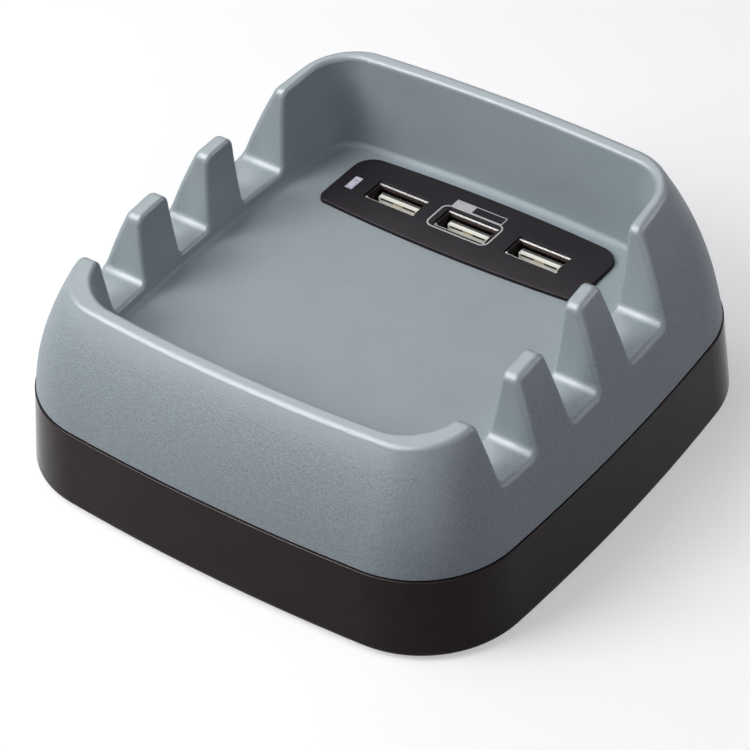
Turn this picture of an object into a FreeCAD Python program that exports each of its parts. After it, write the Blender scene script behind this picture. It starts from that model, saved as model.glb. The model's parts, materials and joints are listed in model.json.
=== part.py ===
"""A desktop charging station: a tray with slotted side walls and three ports.

Millimetres, +Z up, +X to the right and -Y towards the user. The origin is on
the table, under the middle of the base.
"""
import FreeCAD, Part
import math
import os
import re
import Sketcher

# Driving sizes, in millimetres unless the name says otherwise.
SIZES = {
    # Black base tub
    "base_width": 133.6,
    "base_depth": 133.8,
    "base_height": 20.2,
    "base_draft_inset": 1.75,
    "base_corner_radius": 26.2,
    "base_top_corner_radius": 25.2,
    "side_bow_radius": 540.0,
    "base_wall": 2.6,
    "base_floor": 2.4,
    "base_edge_radius": 1.0,
    "base_lip_radius": 0.3,
    # Rubber feet
    "foot_diameter": 12.0,
    "foot_height": 2.2,
    "foot_recess": 1.2,
    "foot_inset": 17.0,
    "foot_clearance": 0.1,
    "foot_edge_radius": 0.5,
    # Grey tray housing: its outer wall at the seam, half way up and at the top
    "ledge_width": 0.4,
    "seam_height": 0.4,
    "seam_depth": 0.5,
    "housing_wall": 2.4,
    "housing_corner_radius": 24.8,
    "side_mid_lean": 6.1,
    "side_top_lean": 15.0,
    "front_mid_lean": 5.9,
    "front_top_lean": 19.6,
    "back_mid_lean": 4.75,
    "back_top_lean": 11.7,
    "front_mid_corner": 16.3,
    "front_top_corner": 14.0,
    "back_mid_corner": 16.8,
    "back_top_corner": 14.5,
    # Tray hollow: its outline at the floor and at the top
    "tray_floor_rise": 11.0,
    "tray_floor_thickness": 2.4,
    "tray_side_inset": 19.7,
    "tray_front_inset": 18.5,
    "tray_back_inset": 16.9,
    "tray_front_corner": 11.0,
    "tray_back_corner": 7.5,
    "tray_top_side_inset": 17.85,
    "tray_top_front_inset": 14.55,
    "tray_top_back_inset": 16.7,
    "tray_top_front_corner": 16.0,
    "tray_top_back_corner": 10.3,
    "tray_bow_radius": 500.0,
    "tray_top_bow_radius": 1500.0,
    "tray_side_slant_degrees": 2.4,
    "tray_side_hollow": 0.5,
    "tray_foot_radius": 1.5,
    # Rim, which rises towards the back
    "rim_rise": 21.45,
    "rim_slope": 0.088,
    "rim_outer_radius": 1.7,
    "rim_inner_radius": 1.1,
    # Device slots across both side walls. The lands and teeth share the length that the slots leave.
    "slot_floor_rise": 3.2,
    "slot_floor_wall": 2.4,
    "front_slot_width": 11.5,
    "middle_slot_width": 10.7,
    "rear_slot_width": 14.5,
    "front_land_share": 11.2,
    "front_tooth_share": 13.5,
    "rear_tooth_share": 12.8,
    "rear_land_share": 24.2,
    "tooth_front_lean_degrees": 9.0,
    "tooth_back_lean_degrees": 2.0,
    "tooth_top_radius": 2.3,
    "slot_root_radius": 2.2,
    "slot_heel_radius": 1.0,
    # Black port panel, let into the tray floor
    "panel_width": 73.0,
    "panel_depth": 23.0,
    "panel_thickness": 1.8,
    "panel_proud": 0.9,
    "panel_back_gap": 3.6,
    "panel_bow_radius": 430.0,
    "panel_front_corner": 2.5,
    "panel_back_corner": 5.5,
    "panel_clearance": 0.1,
    "panel_edge_radius": 0.3,
    # USB sockets, standing upright on the port board
    "port_pitch": 20.0,
    "port_back_gap": 11.75,
    "port_window_width": 14.6,
    "port_window_depth": 7.2,
    "shell_inner_width": 12.5,
    "shell_inner_depth": 5.12,
    "shell_wall": 0.3,
    "shell_height": 13.8,
    "shell_recess": 0.4,
    "shell_flare": 0.5,
    "shell_flare_height": 0.9,
    "tongue_width": 11.1,
    "tongue_thickness": 1.84,
    "tongue_back_gap": 0.5,
    "tongue_recess": 1.5,
    "insulator_base_height": 3.0,
    "insulator_clearance": 0.05,
    "tip_slit_height": 0.6,
    "tip_slit_depth": 0.7,
    "tip_wall": 0.55,
    "tip_lip": 0.15,
    "contact_width": 1.0,
    "contact_thickness": 0.25,
    "contact_outer_pitch": 7.0,
    "contact_inner_pitch": 2.0,
    "contact_tail": 1.0,
    "contact_tip_drop": 2.4,
    "contact_clearance": 0.1,
    # Boards and their bosses
    "board_thickness": 1.6,
    "port_board_width": 68.0,
    "port_board_depth": 24.0,
    "port_boss_inset_x": 6.2,
    "port_boss_inset_y": 3.0,
    "boss_diameter": 6.0,
    "power_board_width": 60.0,
    "power_board_depth": 58.0,
    "power_board_back_gap": 5.0,
    "power_boss_inset": 4.0,
    "power_boss_height": 3.0,
    # Screws
    "board_screw_diameter": 2.2,
    "board_screw_length": 5.0,
    "board_screw_head_diameter": 4.2,
    "board_screw_head_height": 1.5,
    "board_screw_recess_span": 2.5,
    "case_screw_diameter": 3.0,
    "case_screw_length": 16.0,
    "case_screw_head_diameter": 5.6,
    "case_screw_head_height": 2.2,
    "case_screw_recess_span": 3.4,
    "case_screw_inset": 27.0,
    "case_screw_gap": 2.2,
    "case_column_diameter": 9.0,
    "case_column_height": 11.0,
    "case_boss_diameter": 7.0,
    "case_head_depth": 4.0,
    "screw_clearance": 0.1,
    "screw_recess_width": 0.7,
    "screw_recess_depth": 0.8,
    # Indicator light
    "light_pipe_width": 2.0,
    "light_pipe_depth": 4.8,
    "light_pipe_edge_gap": 4.3,
    "light_pipe_forward": 0.5,
    "light_pipe_flange": 0.6,
    "light_pipe_flange_thickness": 1.0,
    "light_pipe_clearance": 0.1,
    "lamp_length": 3.2,
    "lamp_width": 1.6,
    "lamp_height": 1.1,
    "lamp_gap": 0.3,
    # Power inlet
    "jack_width": 9.0,
    "jack_length": 10.8,
    "jack_height": 11.0,
    "jack_axis_height": 6.5,
    "jack_nose_diameter": 8.0,
    "jack_nose_length": 2.9,
    "jack_nose_clearance": 0.15,
    "jack_bore": 5.6,
    "jack_bore_depth": 9.5,
    "jack_pin_diameter": 2.0,
    "jack_pin_length": 8.5,
    # Parts on the power board
    "capacitor_diameter": 8.0,
    "capacitor_height": 11.5,
    "capacitor_pitch": 11.0,
    "capacitor_place_x": 14.0,
    "capacitor_port_gap": 1.0,
    "inductor_length": 10.0,
    "inductor_width": 10.0,
    "inductor_height": 5.0,
    "inductor_place_x": 8.0,
    "inductor_back_gap": 28.0,
    "regulator_length": 6.0,
    "regulator_width": 5.0,
    "regulator_height": 1.7,
    "regulator_place_x": -8.0,
    "regulator_back_gap": 26.0,
    "diode_length": 4.4,
    "diode_width": 2.7,
    "diode_height": 2.2,
    "diode_place_x": 18.0,
    "diode_back_gap": 18.0,
    "fuse_length": 7.5,
    "fuse_width": 3.2,
    "fuse_height": 5.5,
    "fuse_place_x": -16.0,
    "fuse_back_gap": 14.0,
    # Parts on the port board
    "chip_length": 2.9,
    "chip_width": 1.7,
    "chip_height": 1.1,
    "chip_back_gap": 2.2,
    "bypass_length": 3.2,
    "bypass_width": 1.6,
    "bypass_height": 1.5,
    "bypass_offset": 5.0,
    # Lead between the boards
    "wire_diameter": 1.4,
    "wire_pitch": 2.5,
    "wire_bend_radius": 4.5,
    "header_length": 7.5,
    "header_width": 4.5,
    "header_height": 5.0,
    "header_place_x": -10.0,
    "lead_run": 3.25,
    "plug_height": 1.5,
}

doc = FreeCAD.newDocument("charging_station")
dims = doc.addObject("Spreadsheet::Sheet", "dims")
for row, (name, number) in enumerate(SIZES.items(), start=1):
    dims.set(f"A{row}", str(number))
    dims.setAlias(f"A{row}", name)
doc.recompute()

nodes = []

# How near counts as the same place, and how much of a direction lies along an axis that it follows
CLOSE = 0.01
NEARLY_PARALLEL = 0.95

# How closely faces meet in the written files, a little wider than the fillets' own fit
FILE_TOLERANCE = 0.0005


def tied(text):
    """Turns plain size names into references to the sheet."""
    return re.sub(r"[a-z][a-z_]*", lambda word: sheet_name(word.group()), text)


def sheet_name(word):
    return f"dims.{word}" if word in SIZES else word


def value(text):
    """The number that a sum of sizes has now."""
    return float(dims.evalExpression(text))


def node(piece, label):
    """Keeps a finished sub-part under the name of its file."""
    piece.Label = label
    nodes.append(piece)
    return piece


# Heights and places that follow from the sizes
FOOT_PROUD = "(foot_height - foot_recess)"
SEAM_Z = f"({FOOT_PROUD} + base_height)"
BASE_FLOOR_Z = f"({FOOT_PROUD} + base_floor)"
TRAY_Z = f"({SEAM_Z} + tray_floor_rise)"
UNDER_TRAY_Z = f"({TRAY_Z} - tray_floor_thickness)"
SLOT_Z = f"({TRAY_Z} + slot_floor_rise)"
RIM_Z = f"({TRAY_Z} + rim_rise)"
TOP_Z = f"({RIM_Z} + rim_slope * base_depth / 2)"
WALL_FOOT_Z = f"({SEAM_Z} + seam_height)"
WALL_MID_Z = f"(({WALL_FOOT_Z} + {TOP_Z}) / 2)"
HOLLOW_TOP_Z = f"({SLOT_Z} - slot_floor_wall)"

BASE_X = "(base_width / 2)"
BASE_Y = "(base_depth / 2)"
BASE_TOP_X = f"({BASE_X} - base_draft_inset)"
BASE_TOP_Y = f"({BASE_Y} - base_draft_inset)"
HOUSING_X = f"({BASE_TOP_X} - ledge_width)"
HOUSING_Y = f"({BASE_TOP_Y} - ledge_width)"
HOLLOW_LEAN = f"(({HOLLOW_TOP_Z} - {WALL_FOOT_Z}) / ({WALL_MID_Z} - {WALL_FOOT_Z}))"
TRAY_X = f"({BASE_X} - tray_side_inset)"
TRAY_FRONT = f"({BASE_Y} - tray_front_inset)"
TRAY_BACK = f"({BASE_Y} - tray_back_inset)"
TRAY_TOP_X = f"({BASE_X} - tray_top_side_inset)"
TRAY_TOP_FRONT = f"({BASE_Y} - tray_top_front_inset)"
TRAY_TOP_BACK = f"({BASE_Y} - tray_top_back_inset)"
TRAY_MID_BOW = "(2 * tray_bow_radius * tray_top_bow_radius / (tray_bow_radius + tray_top_bow_radius))"

PANEL_TOP_Z = f"({TRAY_Z} + panel_proud)"
PANEL_SEAT_Z = f"({PANEL_TOP_Z} - panel_thickness)"
PANEL_BACK = f"({TRAY_BACK} - panel_back_gap)"
PANEL_Y = f"({PANEL_BACK} - panel_depth / 2)"
PORT_Y = f"({PANEL_BACK} - port_back_gap)"
SHELL_TOP_Z = f"({PANEL_TOP_Z} - shell_recess)"
PORT_BOARD_TOP_Z = f"({SHELL_TOP_Z} - shell_height)"
PORT_BOARD_Z = f"({PORT_BOARD_TOP_Z} - board_thickness)"
PORT_BOARD_FRONT = f"({PORT_Y} - port_board_depth / 2)"
POWER_BOARD_Z = f"({BASE_FLOOR_Z} + power_boss_height)"
POWER_BOARD_TOP_Z = f"({POWER_BOARD_Z} + board_thickness)"
POWER_BOARD_BACK = f"({BASE_Y} - power_board_back_gap)"
POWER_BOARD_Y = f"({POWER_BOARD_BACK} - power_board_depth / 2)"
LIGHT_X = "(light_pipe_edge_gap - panel_width / 2)"
LIGHT_Y = f"({PORT_Y} - light_pipe_forward)"
FOOT_X = f"({BASE_X} - foot_inset)"
FOOT_Y = f"({BASE_Y} - foot_inset)"
LIGHT_EDGE_X = f"(light_pipe_width / 2 + light_pipe_flange - {LIGHT_X})"
CASE_BOSS_X = f"(max(port_board_width / 2; {LIGHT_EDGE_X}) + case_boss_diameter / 2)"
CASE_COLUMN_X = "(power_board_width / 2 + case_column_diameter / 2)"
CASE_SCREW_X = f"(max({CASE_BOSS_X}; {CASE_COLUMN_X}) + case_screw_gap)"
CASE_SCREW_Y = f"({BASE_Y} - case_screw_inset)"
CASE_COLUMN_Z = f"({FOOT_PROUD} + case_column_height)"
CASE_SEAT_Z = f"({FOOT_PROUD} + case_head_depth)"
BOARD_PILOT_DEPTH = "(board_screw_length - board_thickness + screw_clearance)"
JACK_Z = f"({POWER_BOARD_TOP_Z} + jack_axis_height)"
JACK_FACE_Y = f"({BASE_Y} - base_draft_inset - base_wall)"
JACK_NOSE_Y = f"({JACK_FACE_Y} + jack_nose_length)"

# Places inside a socket, from its middle and its foot
TONGUE_Y = "(shell_inner_depth / 2 - tongue_back_gap - tongue_thickness / 2)"
TONGUE_FACE_Y = f"({TONGUE_Y} - tongue_thickness / 2)"
TONGUE_TIP = "(shell_height - tongue_recess)"
CONTACT_Y = f"({TONGUE_FACE_Y} - contact_thickness / 2)"
CONTACT_PITCHES = ["contact_outer_pitch", "contact_inner_pitch"]
CONTACTS = [f"{side} * {pitch} / 2" for pitch in CONTACT_PITCHES for side in (-1, 1)]

# Where each slot's floor starts and ends along the side walls
SLOT_WIDTHS = "(front_slot_width + middle_slot_width + rear_slot_width)"
LAND_SHARES = "(front_land_share + front_tooth_share + rear_tooth_share + rear_land_share)"
LAND_PART = f"(({TRAY_FRONT} + {TRAY_BACK} - {SLOT_WIDTHS}) / {LAND_SHARES})"
FRONT_HEEL = f"(front_land_share * {LAND_PART} - {TRAY_FRONT})"
FRONT_ROOT = f"({FRONT_HEEL} + front_slot_width)"
MIDDLE_HEEL = f"({FRONT_ROOT} + front_tooth_share * {LAND_PART})"
MIDDLE_ROOT = f"({MIDDLE_HEEL} + middle_slot_width)"
REAR_HEEL = f"({MIDDLE_ROOT} + rear_tooth_share * {LAND_PART})"
REAR_ROOT = f"({REAR_HEEL} + rear_slot_width)"
SLOTS = [(FRONT_HEEL, FRONT_ROOT), (MIDDLE_HEEL, MIDDLE_ROOT), (REAR_HEEL, REAR_ROOT)]

PORTS = {"left": "-port_pitch", "middle": "0", "right": "port_pitch"}
CORNERS = {"front_left": (-1, -1), "front_right": (1, -1), "back_left": (-1, 1), "back_right": (1, 1)}


def halfway(first, second):
    return f"(({first} + {second}) / 2)"


def four_places(x, y, middle_y="0"):
    """The corners of a rectangle, as pairs of sums."""
    return [(f"{sx} * {x}", f"{middle_y} + {sy} * {y}") for sx, sy in CORNERS.values()]


# Screw places
CASE_PLACES = four_places(CASE_SCREW_X, CASE_SCREW_Y)
PORT_BOARD_PLACES = four_places(
    "(port_board_width / 2 - port_boss_inset_x)", "(port_board_depth / 2 - port_boss_inset_y)", PORT_Y)
POWER_BOARD_PLACES = four_places(
    "(power_board_width / 2 - power_boss_inset)", "(power_board_depth / 2 - power_boss_inset)", POWER_BOARD_Y)


def new_body(name):
    return doc.addObject("PartDesign::Body", name)


def new_sketch(body, name, plane="XY_Plane", height="0"):
    """A sketch on one of the body's own origin planes, raised to a height."""
    sketch = body.newObject("Sketcher::SketchObject", name)
    support = next(item for item in body.Origin.OriginFeatures if item.Role == plane)
    sketch.AttachmentSupport = (support, [""])
    sketch.MapMode = "FlatFace"
    sketch.setExpression("AttachmentOffset.Base.z", tied(height))
    return sketch


def measure(sketch, kind, places, text):
    """Adds one dimension, tied to the sheet."""
    number = sketch.addConstraint(Sketcher.Constraint(kind, *places, value(text)))
    sketch.setExpression(f"Constraints[{number}]", tied(text))


def locate(sketch, geometry, point, x, y):
    measure(sketch, "DistanceX", (-1, 1, geometry, point), x)
    measure(sketch, "DistanceY", (-1, 1, geometry, point), y)


def draw_polygon(sketch, corners):
    first = sketch.GeometryCount
    points = [FreeCAD.Vector(value(x), value(y)) for x, y in corners]
    for start, end in zip(points, points[1:] + points[:1]):
        sketch.addGeometry(Part.LineSegment(start, end))
    for side in range(len(points)):
        following = first + (side + 1) % len(points)
        sketch.addConstraint(Sketcher.Constraint("Coincident", first + side, 2, following, 1))
    for side, (x, y) in enumerate(corners):
        locate(sketch, first + side, 1, x, y)


def draw_rectangle(sketch, width, depth, x="0", y="0"):
    """A rectangle about a middle point."""
    signs = [(-1, -1), (1, -1), (1, 1), (-1, 1)]
    draw_polygon(sketch, [(f"{x} + {sx} * {width} / 2", f"{y} + {sy} * {depth} / 2") for sx, sy in signs])


def draw_circles(sketch, diameter, places):
    for x, y in places:
        middle = FreeCAD.Vector(value(x), value(y))
        circle = sketch.addGeometry(Part.Circle(middle, FreeCAD.Vector(0, 0, 1), value(diameter) / 2))
        measure(sketch, "Diameter", (circle,), diameter)
        locate(sketch, circle, 3, x, y)


def corner_middle(side, end, side_radius, end_radius, corner):
    """Centre of the arc that rounds the right-hand corner between two bowed sides."""
    reach = end - side
    apart = reach.Length
    first = side_radius - corner
    second = end_radius - corner
    along = (first ** 2 - second ** 2 + apart ** 2) / (2 * apart)
    across = math.sqrt(first ** 2 - along ** 2)
    unit = reach / apart
    foot = side + unit * along
    normal = FreeCAD.Vector(-unit.y, unit.x, 0)
    return max((foot + normal * across, foot - normal * across), key=lambda place: place.x)


def arc_between(middle, radius, start, end):
    """An arc, anticlockwise about its middle, between two points on it."""
    angles = [math.atan2(point.y - middle.y, point.x - middle.x) for point in (start, end)]
    if angles[1] < angles[0]:
        angles[1] += 2 * math.pi
    circle = Part.Circle(middle, FreeCAD.Vector(0, 0, 1), radius)
    return Part.ArcOfCircle(circle, angles[0], angles[1])


def draw_bowed(sketch, half_x, front, back, side_bow, end_bow, front_corner, back_corner, slant="0"):
    """A rounded rectangle with bowed sides, alike left and right.

    front and back are distances from the X axis. slant, in degrees, draws the
    two sides together towards the back.
    """
    first = sketch.GeometryCount
    lean = math.radians(value(slant))
    side_radius = value(side_bow)
    end_radius = value(end_bow)
    side_in = f"({side_bow} * cos({slant}) - {half_x})"
    side_back = f"({side_bow} * sin({slant}))"
    front_in = f"({end_bow} - {front})"
    back_in = f"({end_bow} - {back})"
    right_middle = FreeCAD.Vector(value(half_x) - side_radius * math.cos(lean), -side_radius * math.sin(lean))
    left_middle = FreeCAD.Vector(-right_middle.x, right_middle.y)
    front_middle = FreeCAD.Vector(0, value(front_in))
    back_middle = FreeCAD.Vector(0, -value(back_in))
    corners = {}
    for name, end, corner in (("front", front_middle, front_corner), ("back", back_middle, back_corner)):
        right = corner_middle(right_middle, end, side_radius, end_radius, value(corner))
        corners[name, "right"] = right
        corners[name, "left"] = FreeCAD.Vector(-right.x, right.y)

    def touch(middle, radius, corner):
        return middle + (corner - middle).normalize() * radius

    turns = [("front", "left"), ("front", "right"), ("back", "right"), ("back", "left")]
    sides = [
        (front_middle, end_radius), (right_middle, side_radius),
        (back_middle, end_radius), (left_middle, side_radius)]
    corner_sizes = {"front": front_corner, "back": back_corner}
    arcs = []
    for number, (middle, radius) in enumerate(sides):
        start = touch(middle, radius, corners[turns[number]])
        stop = touch(middle, radius, corners[turns[(number + 1) % 4]])
        arcs.append(arc_between(middle, radius, start, stop))
    for number, arc in enumerate(arcs):
        turn = turns[(number + 1) % 4]
        following = arcs[(number + 1) % 4]
        sketch.addGeometry(arc)
        sketch.addGeometry(arc_between(
            corners[turn], value(corner_sizes[turn[0]]), arc.EndPoint, following.StartPoint))
    for arc in range(8):
        following = first + (arc + 1) % 8
        sketch.addConstraint(Sketcher.Constraint("Tangent", first + arc, 2, following, 1))
    for arc, bow in ((0, end_bow), (2, side_bow), (4, end_bow), (6, side_bow)):
        measure(sketch, "Radius", (first + arc,), bow)
    for arc, corner in ((1, front_corner), (3, back_corner), (5, back_corner), (7, front_corner)):
        measure(sketch, "Radius", (first + arc,), corner)
    locate(sketch, first, 3, "0", front_in)
    locate(sketch, first + 2, 3, f"-{side_in}", f"-{side_back}")
    locate(sketch, first + 4, 3, "0", f"-{back_in}")
    locate(sketch, first + 6, 3, side_in, f"-{side_back}")


def feature(body, kind, name, sketch, **settings):
    """A solid feature from a sketch; text settings are sums of sizes."""
    made = body.newObject(f"PartDesign::{kind}", name)
    made.Profile = sketch
    for setting, wanted in settings.items():
        if setting in ("Length", "Length2"):
            made.setExpression(setting, tied(wanted))
        else:
            setattr(made, setting, wanted)
    doc.recompute()
    return made


def cut_all(body, name, sketch):
    """Cuts through everything on both sides of the sketch."""
    return feature(body, "Pocket", name, sketch, Type="ThroughAll", SideType="Symmetric")


def edges_where(body, test):
    """Names of the body's edges that pass a test."""
    return [f"Edge{number}" for number, edge in enumerate(body.Tip.Shape.Edges, start=1) if test(edge)]


def round_edges(body, name, radius, names):
    base = body.Tip
    fillet = body.newObject("PartDesign::Fillet", name)
    fillet.Base = (base, names)
    fillet.setExpression("Radius", tied(radius))
    doc.recompute()
    return fillet


def outer_loop(body, height):
    """Names of the edges round the body's level face at a height."""
    level = next(face for face in body.Tip.Shape.Faces if is_level(face, height))
    wanted = {edge.hashCode() for edge in level.OuterWire.Edges}
    return edges_where(body, lambda edge: edge.hashCode() in wanted)


def is_level(face, height):
    return max(abs(face.BoundBox.ZMin - height), abs(face.BoundBox.ZMax - height)) < CLOSE


def points_of(edge):
    """Places along an edge, ends included."""
    return edge.discretize(5)


def level_at(edge, height):
    return all(abs(point.z - height) < CLOSE for point in points_of(edge))


def put(piece, x, y, z):
    """Places a finished piece."""
    for axis, place in (("x", x), ("y", y), ("z", z)):
        piece.setExpression(f"Placement.Base.{axis}", tied(place))


def box(name, width, depth, height, x, y, z):
    """A block standing on z, about a middle point."""
    block = doc.addObject("Part::Box", name)
    block.setExpression("Length", tied(width))
    block.setExpression("Width", tied(depth))
    block.setExpression("Height", tied(height))
    put(block, f"{x} - ({width}) / 2", f"{y} - ({depth}) / 2", z)
    return block


def rod(name, diameter, height, x, y, z):
    """An upright cylinder standing on z."""
    cylinder = doc.addObject("Part::Cylinder", name)
    cylinder.setExpression("Radius", tied(f"({diameter}) / 2"))
    cylinder.setExpression("Height", tied(height))
    put(cylinder, x, y, z)
    return cylinder


def level_rod(name, diameter, length, x, y, z):
    """A cylinder along +Y from a point."""
    cylinder = rod(name, diameter, length, x, y, z)
    cylinder.Placement.Rotation = FreeCAD.Rotation(FreeCAD.Vector(1, 0, 0), -90)
    return cylinder


def joined(name, pieces):
    fuse = doc.addObject("Part::MultiFuse", name)
    fuse.Shapes = pieces
    return fuse


def cut(name, base, tool):
    made = doc.addObject("Part::Cut", name)
    made.Base = base
    made.Tool = tool
    return made


def grouped(label, pieces):
    """Like pieces that share one file."""
    group = doc.addObject("Part::Compound", label)
    group.Links = pieces
    return node(group, label)


def draw_base_outline(sketch, half_x, half_y, corner, inset="0"):
    draw_bowed(
        sketch, f"({half_x} - {inset})", f"({half_y} - {inset})", f"({half_y} - {inset})",
        f"(side_bow_radius - {inset})", f"(side_bow_radius - {inset})",
        f"({corner} - {inset})", f"({corner} - {inset})")


def make_base_tub():
    body = new_body("base_tub")
    bottom = new_sketch(body, "base_bottom", height=FOOT_PROUD)
    draw_base_outline(bottom, BASE_X, BASE_Y, "base_corner_radius")
    top = new_sketch(body, "base_top", height=SEAM_Z)
    draw_base_outline(top, BASE_TOP_X, BASE_TOP_Y, "base_top_corner_radius")
    feature(body, "AdditiveLoft", "base_block", bottom, Sections=[top], Ruled=True)

    inner_floor = new_sketch(body, "base_inner_floor", height=BASE_FLOOR_Z)
    draw_base_outline(inner_floor, BASE_X, BASE_Y, "base_corner_radius", "base_wall")
    inner_top = new_sketch(body, "base_inner_top", height=SEAM_Z)
    draw_base_outline(inner_top, BASE_TOP_X, BASE_TOP_Y, "base_top_corner_radius", "base_wall")
    feature(body, "SubtractiveLoft", "base_hollow", inner_floor, Sections=[inner_top], Ruled=True)
    round_edges(body, "base_edge", "base_edge_radius", outer_loop(body, value(FOOT_PROUD)))
    round_edges(body, "base_lip", "base_lip_radius", outer_loop(body, value(SEAM_Z)))

    columns = new_sketch(body, "case_columns", height=BASE_FLOOR_Z)
    draw_circles(columns, "case_column_diameter", CASE_PLACES)
    feature(body, "Pad", "case_column", columns, Length=f"{CASE_COLUMN_Z} - {BASE_FLOOR_Z}")
    bosses = new_sketch(body, "power_bosses", height=BASE_FLOOR_Z)
    draw_circles(bosses, "boss_diameter", POWER_BOARD_PLACES)
    feature(body, "Pad", "power_boss", bosses, Length="power_boss_height")

    heads = new_sketch(body, "case_heads", height=FOOT_PROUD)
    draw_circles(heads, "case_screw_head_diameter + 4 * screw_clearance", CASE_PLACES)
    feature(body, "Pocket", "case_head_well", heads, Length="case_head_depth", Reversed=True)
    shanks = new_sketch(body, "case_shanks", height=FOOT_PROUD)
    draw_circles(shanks, "case_screw_diameter + 4 * screw_clearance", CASE_PLACES)
    feature(body, "Pocket", "case_shank_hole", shanks, Length="case_column_height", Reversed=True)
    pilots = new_sketch(body, "power_pilots", height=POWER_BOARD_Z)
    draw_circles(pilots, "board_screw_diameter + screw_clearance", POWER_BOARD_PLACES)
    feature(body, "Pocket", "power_pilot", pilots, Length=BOARD_PILOT_DEPTH)
    foot_wells = new_sketch(body, "foot_wells", height=FOOT_PROUD)
    draw_circles(foot_wells, "foot_diameter + 2 * foot_clearance", four_places(FOOT_X, FOOT_Y))
    feature(body, "Pocket", "foot_well", foot_wells, Length="foot_recess", Reversed=True)
    inlet = new_sketch(body, "inlet_hole", plane="XZ_Plane", height=f"-{JACK_FACE_Y} + base_wall")
    draw_circles(inlet, "jack_nose_diameter + 2 * jack_nose_clearance", [("0", JACK_Z)])
    feature(body, "Pocket", "inlet", inlet, Length="base_wall * 4")
    return node(body, "base_tub")


def draw_housing_outline(sketch, side, front, back, front_corner, back_corner, inset="0"):
    draw_bowed(
        sketch, f"({HOUSING_X} - {side} - {inset})", f"({HOUSING_Y} - {front} - {inset})",
        f"({HOUSING_Y} - {back} - {inset})", f"(side_bow_radius - {inset})", f"(side_bow_radius - {inset})",
        f"({front_corner} - {inset})", f"({back_corner} - {inset})")


def draw_tray_floor(sketch, outset="0"):
    draw_bowed(
        sketch, f"({TRAY_X} + {outset})", f"({TRAY_FRONT} + {outset})", f"({TRAY_BACK} + {outset})",
        f"(tray_bow_radius + {outset})", f"(tray_bow_radius + {outset})",
        f"(tray_front_corner + {outset})", f"(tray_back_corner + {outset})")


def draw_panel(sketch, outset="0"):
    """The panel's outline, drawn about its own middle."""
    half_depth = f"(panel_depth / 2 + {outset})"
    draw_bowed(
        sketch, f"(panel_width / 2 + {outset})", half_depth, half_depth,
        "panel_bow_radius", "panel_bow_radius",
        f"(panel_front_corner + {outset})", f"(panel_back_corner + {outset})")


def shift_sketch(sketch, y):
    """Moves a sketch that was drawn about its own middle."""
    sketch.setExpression("AttachmentOffset.Base.y", tied(y))


def make_outer_wall(body):
    seat = new_sketch(body, "seam_outline", height=SEAM_Z)
    draw_housing_outline(seat, "0", "0", "0", "housing_corner_radius", "housing_corner_radius", "seam_depth")
    feature(body, "Pad", "seam", seat, Length="seam_height")
    foot = new_sketch(body, "wall_foot", height=WALL_FOOT_Z)
    draw_housing_outline(foot, "0", "0", "0", "housing_corner_radius", "housing_corner_radius")
    middle = new_sketch(body, "wall_middle", height=WALL_MID_Z)
    draw_housing_outline(
        middle, "side_mid_lean", "front_mid_lean", "back_mid_lean", "front_mid_corner", "back_mid_corner")
    top = new_sketch(body, "wall_top", height=TOP_Z)
    draw_housing_outline(
        top, "side_top_lean", "front_top_lean", "back_top_lean", "front_top_corner", "back_top_corner")
    feature(body, "AdditiveLoft", "outer_wall", foot, Sections=[middle, top], Ruled=False)


def make_under_hollow(body):
    """Hollows the housing from below, then closes the tray's floor again."""
    below = new_sketch(body, "hollow_foot", height=SEAM_Z)
    draw_housing_outline(
        below, "0", "0", "0", "housing_corner_radius", "housing_corner_radius", "housing_wall")
    above = new_sketch(body, "hollow_top", height=HOLLOW_TOP_Z)
    draw_housing_outline(
        above, f"side_mid_lean * {HOLLOW_LEAN}", f"front_mid_lean * {HOLLOW_LEAN}",
        f"back_mid_lean * {HOLLOW_LEAN}", "front_mid_corner", "back_mid_corner", "housing_wall")
    feature(body, "SubtractiveLoft", "under_hollow", below, Sections=[above], Ruled=True)
    slab = new_sketch(body, "tray_slab", height=UNDER_TRAY_Z)
    draw_tray_floor(slab, "housing_wall")
    feature(body, "Pad", "tray_floor", slab, Length=f"{HOLLOW_TOP_Z} - {UNDER_TRAY_Z} + housing_wall")


def make_tray_hollow(body):
    rim = new_sketch(body, "rim_line", plane="YZ_Plane")
    above = f"{TOP_Z} + rim_rise"
    drop = "rim_slope * base_depth"
    draw_polygon(rim, [
        ("-base_depth", f"{RIM_Z} - {drop}"), ("base_depth", f"{RIM_Z} + {drop}"),
        ("base_depth", above), ("-base_depth", above)])
    cut_all(body, "rim", rim)
    floor = new_sketch(body, "tray_floor_outline", height=TRAY_Z)
    draw_tray_floor(floor)
    middle = new_sketch(body, "tray_middle_outline", height=halfway(TRAY_Z, TOP_Z))
    draw_bowed(
        middle, f"({halfway(TRAY_X, TRAY_TOP_X)} + tray_side_hollow)", halfway(TRAY_FRONT, TRAY_TOP_FRONT),
        halfway(TRAY_BACK, TRAY_TOP_BACK), TRAY_MID_BOW, "tray_bow_radius",
        halfway("tray_front_corner", "tray_top_front_corner"),
        halfway("tray_back_corner", "tray_top_back_corner"), "(tray_side_slant_degrees / 2)")
    top = new_sketch(body, "tray_top_outline", height=TOP_Z)
    draw_bowed(
        top, TRAY_TOP_X, TRAY_TOP_FRONT, TRAY_TOP_BACK, "tray_top_bow_radius", "tray_bow_radius",
        "tray_top_front_corner", "tray_top_back_corner", "tray_side_slant_degrees")
    feature(body, "SubtractiveLoft", "tray_hollow", floor, Sections=[middle, top], Ruled=False)
    round_edges(body, "tray_foot", "tray_foot_radius", outer_loop(body, value(TRAY_Z)))


def on_rim(edge):
    """Whether an edge lies in the rim's plane."""
    rim_z = value(RIM_Z)
    slope = value("rim_slope")
    return all(abs(point.z - rim_z - slope * point.y) < CLOSE for point in points_of(edge))


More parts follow.
